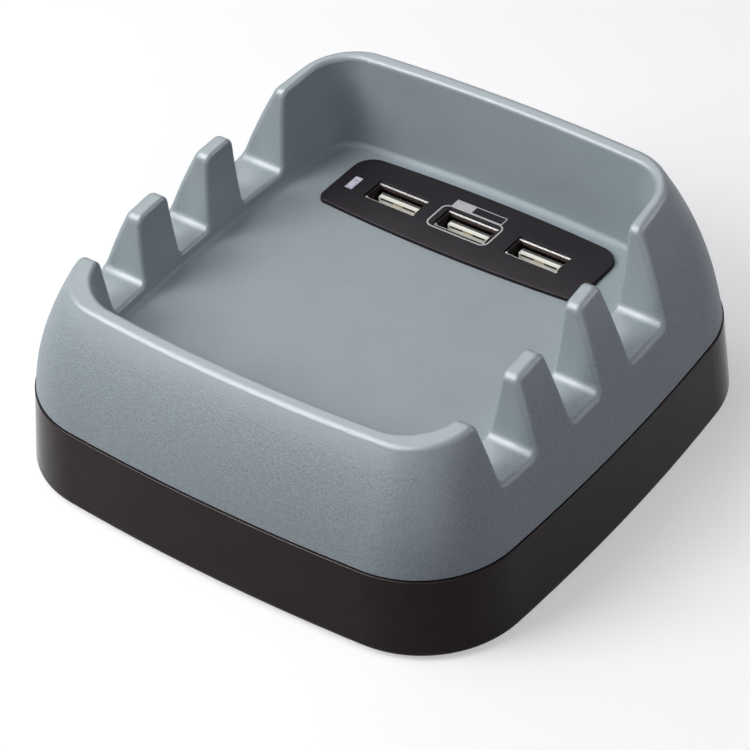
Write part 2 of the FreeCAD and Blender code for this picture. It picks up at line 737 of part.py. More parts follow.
def runs_across(edge):
    """Whether an edge runs straight across a side wall."""
    straight = edge.Curve.TypeId == "Part::GeomLine"
    return straight and abs(edge.tangentAt(edge.FirstParameter).x) > NEARLY_PARALLEL


def make_slots(body):
    slots = new_sketch(body, "slot_profiles", plane="YZ_Plane")
    rise = f"({TOP_Z} - {SLOT_Z})"
    for heel, root in SLOTS:
        draw_polygon(slots, [
            (heel, SLOT_Z), (root, SLOT_Z),
            (f"{root} + {rise} * tan(tooth_front_lean_degrees)", TOP_Z),
            (f"{heel} - {rise} * tan(tooth_back_lean_degrees)", TOP_Z)])
    cut_all(body, "slots", slots)
    slot_z = value(SLOT_Z)
    for end, bend in enumerate(("heel", "root")):
        places = [value(slot[end]) for slot in SLOTS]

        def in_bend(edge):
            near = any(abs(edge.CenterOfMass.y - place) < CLOSE for place in places)
            return near and level_at(edge, slot_z)

        round_edges(body, f"slot_{bend}", f"slot_{bend}_radius", edges_where(body, in_bend))
    tooth_tops = edges_where(body, lambda edge: runs_across(edge) and on_rim(edge))
    round_edges(body, "tooth_top", "tooth_top_radius", tooth_tops)


def is_slot_face(face, floor_z):
    """The slots' faces are drawn out along X and lie on or above their floor."""
    if face.BoundBox.ZMin < floor_z - CLOSE:
        return False
    first_u, last_u, first_v, last_v = face.ParameterRange
    normal = face.normalAt((first_u + last_u) / 2, (first_v + last_v) / 2)
    return abs(normal.x) < CLOSE and face.Surface.TypeId in ("Part::GeomPlane", "Part::GeomCylinder")


def round_housing_edges(body):
    """Rounds the rim and the teeth's long edges, first those of the outer wall and then those of the hollow."""
    slot_z = value(SLOT_Z)
    hollow = doc.getObject("tray_hollow").AddSubShape

    def in_hollow(edge):
        middle = edge.valueAt((edge.FirstParameter + edge.LastParameter) / 2)
        return hollow.distToShape(Part.Vertex(middle))[0] < CLOSE

    for side in ("outer", "inner"):
        slot_faces = [face for face in body.Tip.Shape.Faces if is_slot_face(face, slot_z)]
        slot_edges = {edge.hashCode() for face in slot_faces for edge in face.Edges}

        def wanted(edge):
            along = not runs_across(edge) and (on_rim(edge) or edge.hashCode() in slot_edges)
            return along and in_hollow(edge) == (side == "inner")

        round_edges(body, f"rim_{side}_edges", f"rim_{side}_radius", edges_where(body, wanted))


def make_panel_seat(body):
    seat = new_sketch(body, "panel_seat_outline", height=PANEL_SEAT_Z)
    draw_panel(seat, "panel_clearance")
    shift_sketch(seat, PANEL_Y)
    feature(body, "Pocket", "panel_seat", seat, Length="tray_floor_thickness", Reversed=True)
    windows = new_sketch(body, "port_wells", height=PANEL_TOP_Z)
    for x in PORTS.values():
        draw_rectangle(windows, "port_window_width", "port_window_depth", x, PORT_Y)
    draw_rectangle(
        windows, "(light_pipe_width + 2 * light_pipe_clearance)",
        "(light_pipe_depth + 2 * light_pipe_clearance)", LIGHT_X, LIGHT_Y)
    feature(body, "Pocket", "port_well", windows, Length="tray_floor_thickness * 2")


def make_housing_bosses(body):
    case = new_sketch(body, "case_bosses", height=CASE_COLUMN_Z)
    draw_circles(case, "case_boss_diameter", CASE_PLACES)
    feature(body, "Pad", "case_boss", case, Length=f"{UNDER_TRAY_Z} - {CASE_COLUMN_Z}")
    board = new_sketch(body, "port_bosses", height=PORT_BOARD_TOP_Z)
    draw_circles(board, "boss_diameter", PORT_BOARD_PLACES)
    feature(body, "Pad", "port_boss", board, Length=f"{UNDER_TRAY_Z} - {PORT_BOARD_TOP_Z}")
    case_pilots = new_sketch(body, "case_pilots", height=CASE_COLUMN_Z)
    draw_circles(case_pilots, "case_screw_diameter + screw_clearance", CASE_PLACES)
    feature(
        body, "Pocket", "case_pilot", case_pilots, Reversed=True,
        Length=f"case_screw_length + {CASE_SEAT_Z} - {CASE_COLUMN_Z} + screw_clearance")
    board_pilots = new_sketch(body, "port_pilots", height=PORT_BOARD_TOP_Z)
    draw_circles(board_pilots, "board_screw_diameter + screw_clearance", PORT_BOARD_PLACES)
    feature(body, "Pocket", "port_pilot", board_pilots, Reversed=True, Length=BOARD_PILOT_DEPTH)


def make_tray_housing():
    body = new_body("tray_housing")
    make_outer_wall(body)
    make_under_hollow(body)
    make_tray_hollow(body)
    make_slots(body)
    make_panel_seat(body)
    make_housing_bosses(body)
    round_housing_edges(body)
    return node(body, "tray_housing")


def make_port_panel():
    body = new_body("port_panel")
    outline = new_sketch(body, "panel_outline")
    draw_panel(outline)
    feature(body, "Pad", "panel_plate", outline, Length="panel_thickness")
    round_edges(body, "panel_edge", "panel_edge_radius", outer_loop(body, value("panel_thickness")))
    windows = new_sketch(body, "panel_windows", height="panel_thickness")
    for x in PORTS.values():
        draw_rectangle(windows, "port_window_width", "port_window_depth", x, f"({PORT_Y} - {PANEL_Y})")
    draw_rectangle(
        windows, "(light_pipe_width + 2 * light_pipe_clearance)",
        "(light_pipe_depth + 2 * light_pipe_clearance)", LIGHT_X, f"({LIGHT_Y} - {PANEL_Y})")
    feature(body, "Pocket", "panel_window", windows, Length="panel_thickness * 2")
    put(body, "0", PANEL_Y, PANEL_SEAT_Z)
    return node(body, "port_panel")


def make_usb_shell(side, x):
    """A drawn steel shell, flared at its mouth."""
    body = new_body(f"usb_shell_{side}")
    straight = "(shell_height - shell_flare_height)"
    outer_width = "(shell_inner_width + 2 * shell_wall)"
    outer_depth = "(shell_inner_depth + 2 * shell_wall)"
    foot = new_sketch(body, f"shell_foot_{side}")
    draw_rectangle(foot, outer_width, outer_depth)
    feature(body, "Pad", f"shell_tube_{side}", foot, Length=straight)
    loops = {}
    for name, width, depth in (
            ("outer", outer_width, outer_depth), ("inner", "shell_inner_width", "shell_inner_depth")):
        neck = new_sketch(body, f"shell_{name}_neck_{side}", height=straight)
        draw_rectangle(neck, width, depth)
        mouth = new_sketch(body, f"shell_{name}_mouth_{side}", height="shell_height")
        draw_rectangle(mouth, f"({width} + 2 * shell_flare)", f"({depth} + 2 * shell_flare)")
        loops[name] = (neck, mouth)
    neck, mouth = loops["outer"]
    feature(body, "AdditiveLoft", f"shell_flare_{side}", neck, Sections=[mouth], Ruled=True)
    neck, mouth = loops["inner"]
    feature(body, "SubtractiveLoft", f"shell_mouth_{side}", neck, Sections=[mouth], Ruled=True)
    bore = new_sketch(body, f"shell_bore_{side}", height=straight)
    draw_rectangle(bore, "shell_inner_width", "shell_inner_depth")
    feature(body, "Pocket", f"shell_hollow_{side}", bore, Length="shell_height")
    put(body, x, PORT_Y, PORT_BOARD_TOP_Z)
    return node(body, f"usb_shell_{side}")


def make_usb_insulator(side, x):
    """The moulded base and tongue inside a shell."""
    body = new_body(f"usb_insulator_{side}")
    foot = new_sketch(body, f"insulator_foot_{side}")
    foot_width = "(shell_inner_width - 2 * insulator_clearance)"
    foot_depth = "(shell_inner_depth - 2 * insulator_clearance)"
    draw_rectangle(foot, foot_width, foot_depth)
    feature(body, "Pad", f"insulator_base_{side}", foot, Length="insulator_base_height")
    tongue = new_sketch(body, f"tongue_outline_{side}")
    draw_rectangle(tongue, "tongue_width", "tongue_thickness", y=TONGUE_Y)
    feature(body, "Pad", f"tongue_{side}", tongue, Length=TONGUE_TIP)
    slots = new_sketch(body, f"contact_slots_{side}", height="insulator_base_height")
    slot_width = "(contact_width + 2 * contact_clearance)"
    slot_depth = "(contact_thickness + contact_clearance)"
    for place in CONTACTS:
        draw_rectangle(slots, slot_width, slot_depth, place, f"({TONGUE_FACE_Y} - {slot_depth} / 2)")
    feature(body, "Pocket", f"contact_slot_{side}", slots, Length="insulator_base_height")
    slit = new_sketch(body, f"tip_slit_{side}", plane="XZ_Plane", height=f"-{TONGUE_FACE_Y}")
    slit_z = f"({TONGUE_TIP} - tip_lip - tip_slit_height / 2)"
    draw_rectangle(slit, "(tongue_width - 2 * tip_wall)", "tip_slit_height", y=slit_z)
    feature(body, "Pocket", f"tip_groove_{side}", slit, Length="tip_slit_depth")
    put(body, x, PORT_Y, PORT_BOARD_TOP_Z)
    return node(body, f"usb_insulator_{side}")


def make_usb_contacts(side, x):
    """Four flat contacts with tails through the board."""
    tail = "(board_thickness + contact_tail)"
    strips = []
    for number, place in enumerate(CONTACTS, start=1):
        strips.append(box(
            f"contact_{side}_{number}", "contact_width", "contact_thickness",
            f"{TONGUE_TIP} - contact_tip_drop + {tail}", f"{x} + {place}", f"{PORT_Y} + {CONTACT_Y}",
            f"{PORT_BOARD_TOP_Z} - {tail}"))
    return grouped(f"usb_contacts_{side}", strips)


def make_port_board():
    body = new_body("port_board")
    outline = new_sketch(body, "port_board_outline", height=PORT_BOARD_Z)
    draw_rectangle(outline, "port_board_width", "port_board_depth", y=PORT_Y)
    feature(body, "Pad", "port_board_plate", outline, Length="board_thickness")
    holes = new_sketch(body, "port_board_holes", height=PORT_BOARD_TOP_Z)
    draw_circles(holes, "board_screw_diameter + 4 * screw_clearance", PORT_BOARD_PLACES)
    hole_width = "(contact_width + 2 * contact_clearance)"
    hole_depth = "(contact_thickness + 2 * contact_clearance)"
    for x in PORTS.values():
        for place in CONTACTS:
            draw_rectangle(holes, hole_width, hole_depth, f"({x} + {place})", f"({PORT_Y} + {CONTACT_Y})")
    feature(body, "Pocket", "port_board_hole", holes, Length="board_thickness * 2")
    return node(body, "port_board")


def make_power_board():
    body = new_body("power_board")
    outline = new_sketch(body, "power_board_outline", height=POWER_BOARD_Z)
    draw_rectangle(outline, "power_board_width", "power_board_depth", y=POWER_BOARD_Y)
    feature(body, "Pad", "power_board_plate", outline, Length="board_thickness")
    holes = new_sketch(body, "power_board_holes", height=POWER_BOARD_TOP_Z)
    draw_circles(holes, "board_screw_diameter + 4 * screw_clearance", POWER_BOARD_PLACES)
    feature(body, "Pocket", "power_board_hole", holes, Length="board_thickness * 2")
    return node(body, "power_board")


def make_screws(label, kind, places, seat_z, pointing_up):
    """Cross-head screws whose heads bear on seat_z."""
    head = f"{kind}_screw_head_height"
    length = f"{kind}_screw_length"
    head_z = f"({seat_z} - {head})" if pointing_up else seat_z
    shank_z = seat_z if pointing_up else f"({seat_z} - {length})"
    recess_z = head_z if pointing_up else f"({seat_z} + {head} - screw_recess_depth)"
    screws = []
    for number, (x, y) in enumerate(places, start=1):
        name = f"{label}_{number}"
        solid = joined(f"{name}_blank", [
            rod(f"{name}_head", f"{kind}_screw_head_diameter", head, x, y, head_z),
            rod(f"{name}_shank", f"{kind}_screw_diameter", length, x, y, shank_z)])
        span = f"{kind}_screw_recess_span"
        cross = joined(f"{name}_cross", [
            box(f"{name}_slot_x", span, "screw_recess_width", "screw_recess_depth", x, y, recess_z),
            box(f"{name}_slot_y", "screw_recess_width", span, "screw_recess_depth", x, y, recess_z)])
        screws.append(cut(name, solid, cross))
    return grouped(label, screws)


def make_foot(corner, sign_x, sign_y):
    body = new_body(f"foot_{corner}")
    disc = new_sketch(body, f"foot_disc_{corner}")
    draw_circles(disc, "foot_diameter", [("0", "0")])
    feature(body, "Pad", f"foot_pad_{corner}", disc, Length="foot_height")
    round_edges(body, f"foot_edge_{corner}", "foot_edge_radius", outer_loop(body, 0))
    put(body, f"{sign_x} * {FOOT_X}", f"{sign_y} * {FOOT_Y}", "0")
    return node(body, f"foot_{corner}")


def make_light():
    """The clear light pipe in the panel and the lamp under it."""
    lamp_top = f"({PORT_BOARD_TOP_Z} + lamp_height)"
    stem_z = f"({lamp_top} + lamp_gap)"
    stem = box(
        "light_stem", "light_pipe_width", "light_pipe_depth", f"{PANEL_TOP_Z} - {stem_z}",
        LIGHT_X, LIGHT_Y, stem_z)
    flange_width = "light_pipe_width + 2 * light_pipe_flange"
    flange_depth = "light_pipe_depth + 2 * light_pipe_flange"
    flange = box(
        "light_flange", flange_width, flange_depth, "light_pipe_flange_thickness",
        LIGHT_X, LIGHT_Y, f"{UNDER_TRAY_Z} - light_pipe_flange_thickness")
    node(joined("light_pipe", [stem, flange]), "light_pipe")
    lamp = box("lamp", "lamp_width", "lamp_length", "lamp_height", LIGHT_X, LIGHT_Y, PORT_BOARD_TOP_Z)
    node(lamp, "indicator_lamp")


def make_inlet():
    """The round power inlet at the back, with its centre pin."""
    block_y = f"({JACK_FACE_Y} - jack_length / 2)"
    block = box("inlet_block", "jack_width", "jack_length", "jack_height", "0", block_y, POWER_BOARD_TOP_Z)
    nose = level_rod("inlet_nose", "jack_nose_diameter", "jack_nose_length", "0", JACK_FACE_Y, JACK_Z)
    bore_y = f"({JACK_NOSE_Y} - jack_bore_depth)"
    bore = level_rod("inlet_bore", "jack_bore", "jack_bore_depth * 2", "0", bore_y, JACK_Z)
    node(cut("inlet_socket", joined("inlet_blank", [block, nose]), bore), "inlet_socket")
    pin = level_rod("inlet_pin", "jack_pin_diameter", "jack_pin_length", "0", bore_y, JACK_Z)
    node(pin, "inlet_pin")


def make_power_parts():
    """The parts soldered to the power board: two cans in front of the port board, and four blocks."""
    can_y = f"({PORT_BOARD_FRONT} - capacitor_port_gap - capacitor_diameter / 2)"
    for label, side in (("input_capacitor", -1), ("output_capacitor", 1)):
        can_x = f"capacitor_place_x + {side} * capacitor_pitch / 2"
        node(rod(label, "capacitor_diameter", "capacitor_height", can_x, can_y, POWER_BOARD_TOP_Z), label)
    for label, kind in (
            ("power_inductor", "inductor"), ("regulator_chip", "regulator"),
            ("input_diode", "diode"), ("input_fuse", "fuse")):
        block = (f"{kind}_length", f"{kind}_width", f"{kind}_height")
        y = f"({POWER_BOARD_BACK} - {kind}_back_gap)"
        node(box(label, *block, f"{kind}_place_x", y, POWER_BOARD_TOP_Z), label)


def make_port_parts():
    """A charge controller and a bypass capacitor behind each socket, the outer ones' towards the middle."""
    y = f"({PORT_Y} + shell_inner_depth / 2 + chip_back_gap)"
    chips = []
    bypasses = []
    for side, x in PORTS.items():
        inward = -1 if side == "right" else 1
        chips.append(box(f"chip_{side}", "chip_length", "chip_width", "chip_height", x, y, PORT_BOARD_TOP_Z))
        bypasses.append(box(
            f"bypass_{side}", "bypass_length", "bypass_width", "bypass_height",
            f"{x} + {inward} * bypass_offset", y, PORT_BOARD_TOP_Z))
    grouped("charge_controllers", chips)
    grouped("bypass_capacitors", bypasses)


def make_lead():
    """Two wires from the power board up to the port board, with their connectors."""
    run_y = f"({PORT_BOARD_FRONT} - lead_run)"
    header_y = f"({run_y} - wire_bend_radius)"
    plug_z = f"({POWER_BOARD_TOP_Z} + header_height)"
    wire_z = f"({plug_z} + plug_height)"
    run_z = f"({PORT_BOARD_TOP_Z} + header_width / 2)"
    upright_header = ("header_length", "header_width", "header_height")
    upright_plug = ("header_length", "header_width", "plug_height")
    lying_header = ("header_length", "header_height", "header_width")
    lying_plug = ("header_length", "plug_height", "header_width")
    port_header_y = f"({PORT_BOARD_FRONT} + plug_height + header_height / 2)"
    port_plug_y = f"({PORT_BOARD_FRONT} + plug_height / 2)"
    for label, block, y, z in (
            ("power_header", upright_header, header_y, POWER_BOARD_TOP_Z),
            ("power_plug", upright_plug, header_y, plug_z),
            ("port_header", lying_header, port_header_y, PORT_BOARD_TOP_Z),
            ("port_plug", lying_plug, port_plug_y, PORT_BOARD_TOP_Z)):
        node(box(label, *block, "header_place_x", y, z), label)
    bend_z = f"({run_z} - wire_bend_radius)"
    for label, side in (("positive_wire", -1), ("negative_wire", 1)):
        x = f"header_place_x + {side} * wire_pitch / 2"
        riser = rod(f"{label}_riser", "wire_diameter", f"{bend_z} - {wire_z}", x, header_y, wire_z)
        run = level_rod(f"{label}_run", "wire_diameter", "lead_run", x, run_y, run_z)
        bend = doc.addObject("Part::Torus", f"{label}_bend")
        bend.setExpression("Radius1", tied("wire_bend_radius"))
        bend.setExpression("Radius2", tied("wire_diameter / 2"))
        bend.Angle3 = 90
        upright = [FreeCAD.Vector(0, 0, 1), FreeCAD.Vector(0, -1, 0), FreeCAD.Vector(1, 0, 0)]
        bend.Placement.Rotation = FreeCAD.Rotation(*upright, "XYZ")
        put(bend, x, run_y, bend_z)
        node(joined(label, [riser, bend, run]), label)


def check_and_write():
    """Stops on any failed object, then writes each sub-part to its own file."""
    doc.recompute()
    for item in doc.Objects:
        if "Invalid" in item.State or "Error" in item.State:
            raise RuntimeError(f"{item.Label} failed: {item.State}")
    for piece in nodes:
        if piece.Shape.isNull() or not piece.Shape.isValid():
            raise RuntimeError(f"{piece.Label} has no sound shape")
    os.makedirs("parts", exist_ok=True)
    for piece in nodes:
        shape = piece.Shape.copy()
        shape.fixTolerance(FILE_TOLERANCE)
        shape.exportStep(f"parts/{piece.Label}.step")
        print(f"{piece.Label}: {len(shape.Solids)} solids, {shape.Volume:.0f} cubic mm")


make_base_tub()
make_tray_housing()
make_port_panel()
for side, x in PORTS.items():
    make_usb_shell(side, x)
    make_usb_insulator(side, x)
    make_usb_contacts(side, x)
make_light()
make_port_board()
make_port_parts()
make_power_board()
make_power_parts()
make_inlet()
make_lead()
for corner, (sign_x, sign_y) in CORNERS.items():
    make_foot(corner, sign_x, sign_y)
make_screws("case_screws", "case", CASE_PLACES, CASE_SEAT_Z, pointing_up=True)
make_screws("port_board_screws", "board", PORT_BOARD_PLACES, PORT_BOARD_Z, pointing_up=True)
make_screws("power_board_screws", "board", POWER_BOARD_PLACES, POWER_BOARD_TOP_Z, pointing_up=False)
check_and_write()
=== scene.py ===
import json
import math

import bmesh
import bpy
from mathutils import Matrix, Vector


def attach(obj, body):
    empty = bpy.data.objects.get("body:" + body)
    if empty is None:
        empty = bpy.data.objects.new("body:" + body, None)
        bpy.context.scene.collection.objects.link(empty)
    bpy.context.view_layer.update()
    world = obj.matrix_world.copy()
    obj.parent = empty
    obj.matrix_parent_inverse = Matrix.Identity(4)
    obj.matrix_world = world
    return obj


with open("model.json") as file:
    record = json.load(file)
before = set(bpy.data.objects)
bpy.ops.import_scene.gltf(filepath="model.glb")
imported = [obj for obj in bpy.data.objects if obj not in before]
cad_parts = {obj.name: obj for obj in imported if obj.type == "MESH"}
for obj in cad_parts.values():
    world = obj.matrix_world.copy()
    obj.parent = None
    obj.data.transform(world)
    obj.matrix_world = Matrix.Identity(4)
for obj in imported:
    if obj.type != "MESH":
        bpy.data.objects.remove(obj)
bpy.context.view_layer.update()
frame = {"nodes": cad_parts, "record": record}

MM = 0.001
nodes = frame["nodes"]

# Heights and places on the part, in millimetres
# The tray floor's edge, below which its colour is a darker copy as painted shade and its finish duller
FLOOR_EDGE_LOW = 32.6
FLOOR_EDGE_HIGH = 33.2
PANEL_TOP = 33.1
PANEL_EDGE_LOW = 32.8
PANEL_EDGE_HIGH = 33.06
# Heights and depths that bound the socket shells' painted light: a painted highlight on the rear lip, and
# the front wall painted bright
LIP_FOOT = 32.35
LIP_TOP = 32.55
LIP_FRONT = 37.3
LIP_REAR = 37.6
FRONT_WALL = 32.12
FRONT_WALL_END = 32.18
TONGUE_TIP = 31.2
TONGUE_FACE = 34.87
PORT_PLACES = {"left": -20.0, "middle": 0.0, "right": 20.0}

# The rounded outline that parts the tray's outer walls from its rim: half widths in millimetres,
# the power that rounds it, and the sums where the change begins and ends
OUTLINE_HALVES = {"X": 54.8, "Y": 55.6}
OUTLINE_POWER = 6.0
OUTLINE_START = 0.85
OUTLINE_STOP = 1.25

# The print round the middle socket, in millimetres
PRINT_HEIGHT = 0.03
PRINT_BOX = (-9.15, 8.15, 30.1, 39.25)
PRINT_CORNER = 2.0
PRINT_LINE = 0.38
TAB_LEFT = -7.4
TAB_SPLIT = -2.1
TAB_RIGHT = 6.75
TAB_BACK = 42.05
TAB_LINE = 0.22
FILLED_TAB_CORNER = 0.12
OPEN_TAB_CORNER = 0.3
OPEN_TAB_INNER_CORNER = 0.1

# The pieces on each tongue, where the black slit sheets and the black strip along the rear of the tip are
# painted shade:
# slot, left and right from its middle, front and back from its face, low and high from its tip, in
# millimetres
TONGUE_TRIM = {
    "contact_tip": ("ceramic_tan", -1.4, 1.4, 0.04, 0.50, -0.72, -0.18),
    "slit_left_painted_shade": ("chip_black", -5.2, -1.45, 0.02, 0.50, -0.74, -0.16),
    "slit_right_painted_shade": ("chip_black", 1.45, 5.2, 0.02, 0.50, -0.74, -0.16),
    "tongue_rear_painted_shade": ("chip_black", -5.5, 5.5, 1.15, 1.80, 0.0, 0.03),
}
TRIM_CORNER = 0.1
TRIM_STEPS = 3

# The tray's colours, dark and light, with the floor's a darker copy of the walls' as painted shade,
# and the share that its fine specks have in those inside
TRAY_COLOURS = {
    "floor": ((0.270, 0.320, 0.341), (0.304, 0.355, 0.379)),
    "walls": ((0.300, 0.354, 0.376), (0.336, 0.391, 0.416)),
    "outside": ((0.211, 0.257, 0.280), (0.318, 0.374, 0.400)),
}
TRAY_SPECK_SHARE = 0.35
TRAY_FLOOR_ROUGHNESS = 0.70
TRAY_SPECULAR = 0.45

# The black plastics' colours, dark and light
BASE_COLOURS = ((0.0220, 0.0160, 0.0172), (0.0280, 0.0208, 0.0226))
PANEL_COLOURS = ((0.0170, 0.0150, 0.0182), (0.0210, 0.0188, 0.0224))
BASE_SPECULAR = 0.10
PANEL_SPECULAR = 0.08

# The warm cast of reflections in the black plastic
GLOSS_TINT = (1.0, 0.86, 0.88, 1.0)

# How far grain is drawn out, as a share of its size along each axis
ALONG_Z = (1.0, 1.0, 0.06)
ALONG_Y = (1.0, 0.06, 1.0)

# The floor: half its width in metres, how much light it throws back, and how bright it is seen
FLOOR_HALF = 3.0
FLOOR_BOUNCE = 0.12
FLOOR_SEEN = 0.75
FLOOR_LIFT = 0.43

# The studio's light: places and sizes in metres, power in watts
WHITE = (1.0, 1.0, 1.0)
AMBIENT = 0.04
AMBIENT_TINT = (0.85, 0.92, 1.25)
LIGHT_AIM = (0.0, 0.0, 0.03)
LIGHTS = {
    "key": {"place": (-0.46, -0.58, 0.60), "size": (0.50, 0.50), "power": 5.7},
    "side": {"place": (-0.86, -0.10, 0.40), "size": (1.10, 0.50), "power": 1.0},
    "top": {"place": (-0.36, -0.22, 0.82), "size": (0.60, 0.60), "power": 2.2},
    "back": {"place": (-0.50, 0.50, 0.60), "size": (0.60, 0.60), "power": 0.6},
    "fill": {"place": (0.80, 0.0, 0.42), "size": (0.60, 0.60), "power": 1.22, "tint": (1.0, 0.92, 1.06)},
    "gloss_high": {"place": (-0.40, -0.40, 0.80), "size": (0.75, 0.95), "power": 25.0, "gloss_only": True},
    "gloss_top": {"place": (-0.34, 0.44, 0.78), "size": (0.50, 0.70), "power": 4.0, "gloss_only": True},
    "gloss_front": {"place": (0.72, -0.66, 0.12), "size": (0.60, 0.22), "power": 2.2, "gloss_only": True},
    "gloss_rear": {"place": (0.64, 0.60, 0.47), "size": (0.50, 0.40), "power": 4.5, "gloss_only": True},
}

# The photograph's camera: its place in metres, its turns in radians and its lens
CAMERA_PLACE = (0.328275, -0.424250, 0.462509)
CAMERA_AZIMUTH = 0.66206
CAMERA_ELEVATION = 0.69833
CAMERA_ROLL = -0.05429
CAMERA_CLIP = 0.01
SENSOR_MM = 36.0
LENS_MM = 145.655


def add(tree, kind, inputs=None, **settings):
    """A shader node with its settings, its input values and its links."""
    made = tree.nodes.new(kind)
    for name, wanted in settings.items():
        setattr(made, name, wanted)
    for name, wanted in (inputs or {}).items():
        if isinstance(wanted, bpy.types.NodeSocket):
            tree.links.new(wanted, made.inputs[name])
        else:
            made.inputs[name].default_value = wanted
    return made


def new_material(name):
    """A material with only a Principled shader; returns it, its tree and the shader."""
    material = bpy.data.materials.new(name)
    material.use_nodes = True
    tree = material.node_tree
    tree.nodes.clear()
    shader = add(tree, "ShaderNodeBsdfPrincipled")
    add(tree, "ShaderNodeOutputMaterial", {"Surface": shader.outputs[0]})
    return material, tree, shader


def place(tree, scale=(1.0, 1.0, 1.0)):
    """Where a point is on the part, in metres, with each axis scaled."""
    where = add(tree, "ShaderNodeTexCoord").outputs["Object"]
    return add(tree, "ShaderNodeMapping", {"Vector": where, "Scale": scale}).outputs[0]


def along(tree, axis):
    """How far along one axis a point is on the part, in metres."""
    return add(tree, "ShaderNodeSeparateXYZ", {"Vector": place(tree)}).outputs[axis]


def noise(tree, size_mm, detail=3.0, stretch=(1.0, 1.0, 1.0)):
    """Soft random values whose features are about so large."""
    made = add(tree, "ShaderNodeTexNoise", {
        "Vector": place(tree, stretch), "Scale": 1.0 / (size_mm * MM), "Detail": detail})
    return made.outputs[0]


def ranged(tree, value, low, high, start=0.3, stop=0.7):
    """A value's range from start to stop, spread from low to high."""
    made = add(tree, "ShaderNodeMapRange", {
        "Value": value, "From Min": start, "From Max": stop, "To Min": low, "To Max": high})
    return made.outputs[0]


def combined(tree, operation, first, second):
    """Two values worked into one."""
    return add(tree, "ShaderNodeMath", {0: first, 1: second}, operation=operation).outputs[0]


def between(tree, factor, first, second):
    """A value between two, by a factor."""
    return add(tree, "ShaderNodeMix", {"Factor": factor, "A": first, "B": second}).outputs[0]


def blended(tree, factor, first, second):
    """A colour between two, by a factor."""
    made = add(tree, "ShaderNodeMix", data_type="RGBA")
    tree.links.new(factor, made.inputs["Factor"])
    for socket, colour in (("A_Color", first), ("B_Color", second)):
        target = next(item for item in made.inputs if item.identifier == socket)
        if isinstance(colour, bpy.types.NodeSocket):
            tree.links.new(colour, target)
        else:
            target.default_value = (*colour, 1.0)
    return next(item for item in made.outputs if item.identifier == "Result_Color")


def mottled(tree, pattern, dark, light):
    """A colour that wanders between two with a noise."""
    return blended(tree, ranged(tree, pattern, 0.0, 1.0), dark, light)


def bump(tree, height, depth_mm, strength):
    """A normal that is bent by a height."""
    made = add(tree, "ShaderNodeBump", {
        "Height": height, "Distance": depth_mm * MM, "Strength": strength})
    return made.outputs[0]


def feed(tree, shader, **sockets):
    """Links or sets the shader's own sockets."""
    names = {
        "colour": "Base Color", "roughness": "Roughness", "normal": "Normal", "metallic": "Metallic",
        "specular": "Specular IOR Level", "tint": "Specular Tint", "clear": "Transmission Weight"}
    for name, wanted in sockets.items():
        socket = shader.inputs[names[name]]
        if isinstance(wanted, bpy.types.NodeSocket):
            tree.links.new(wanted, socket)
        else:
            socket.default_value = wanted


def outside(tree):
    """1 on the tray's outer walls, and 0 on its rim and inside it."""
    powers = []
    for axis, half in OUTLINE_HALVES.items():
        share = combined(tree, "DIVIDE", along(tree, axis), half * MM)
        powers.append(combined(tree, "POWER", share, OUTLINE_POWER))
    total = combined(tree, "ADD", *powers)
    return ranged(tree, total, 0.0, 1.0, OUTLINE_START, OUTLINE_STOP)


def tray_plastic(name):
    """Blue-grey moulded plastic: finely spark-textured outside, satin inside and dull on the floor, whose
    colour is darkened as painted shade.
    """
    material, tree, shader = new_material(name)
    out = outside(tree)
    raised = ranged(tree, along(tree, "Z"), 0.0, 1.0, FLOOR_EDGE_LOW * MM, FLOOR_EDGE_HIGH * MM)
    cloud = noise(tree, size_mm=14.0)
    speck = noise(tree, size_mm=0.40, detail=2.0)
    mottle = between(tree, TRAY_SPECK_SHARE, cloud, speck)
    # The floor's colours are a darker copy of the walls': painted shade
    floor = mottled(tree, mottle, *TRAY_COLOURS["floor"])
    walls = mottled(tree, mottle, *TRAY_COLOURS["walls"])
    inner = blended(tree, raised, floor, walls)
    outer = mottled(tree, speck, *TRAY_COLOURS["outside"])
    feed(tree, shader, colour=blended(tree, out, inner, outer))
    satin = ranged(tree, cloud, low=0.39, high=0.44)
    smooth = between(tree, raised, TRAY_FLOOR_ROUGHNESS, satin)
    textured = ranged(tree, speck, low=0.42, high=0.54)
    feed(tree, shader, roughness=between(tree, out, smooth, textured), specular=TRAY_SPECULAR)
    depth = ranged(tree, out, low=0.3, high=1.0, start=0.0, stop=1.0)
    grain = combined(tree, "MULTIPLY", speck, depth)
    feed(tree, shader, normal=bump(tree, grain, depth_mm=0.09, strength=0.9))
    return material


def gloss_skin(name, dark, light, specular):
    """Polished dark plastic that still lacks its roughness; returns also its faint handling haze."""
    material, tree, shader = new_material(name)
    haze = noise(tree, size_mm=9.0, detail=4.0)
    fine = noise(tree, size_mm=0.6, detail=2.0)
    feed(tree, shader, colour=mottled(tree, haze, dark, light), specular=specular, tint=GLOSS_TINT)
    feed(tree, shader, normal=bump(tree, fine, depth_mm=0.004, strength=0.3))
    return material, tree, shader, haze


def base_plastic(name):
    """The base's black, polished all over."""
    material, tree, shader, haze = gloss_skin(name, *BASE_COLOURS, BASE_SPECULAR)
    feed(tree, shader, roughness=ranged(tree, haze, low=0.06, high=0.11))
    return material


def panel_plastic(name):
    """The panel's black, with a polished edge round a duller top."""
    material, tree, shader, _ = gloss_skin(name, *PANEL_COLOURS, PANEL_SPECULAR)
    dullness = ranged(
        tree, along(tree, "Z"), low=0.12, high=0.40, start=PANEL_EDGE_LOW * MM, stop=PANEL_EDGE_HIGH * MM)
    feed(tree, shader, roughness=dullness)
    return material


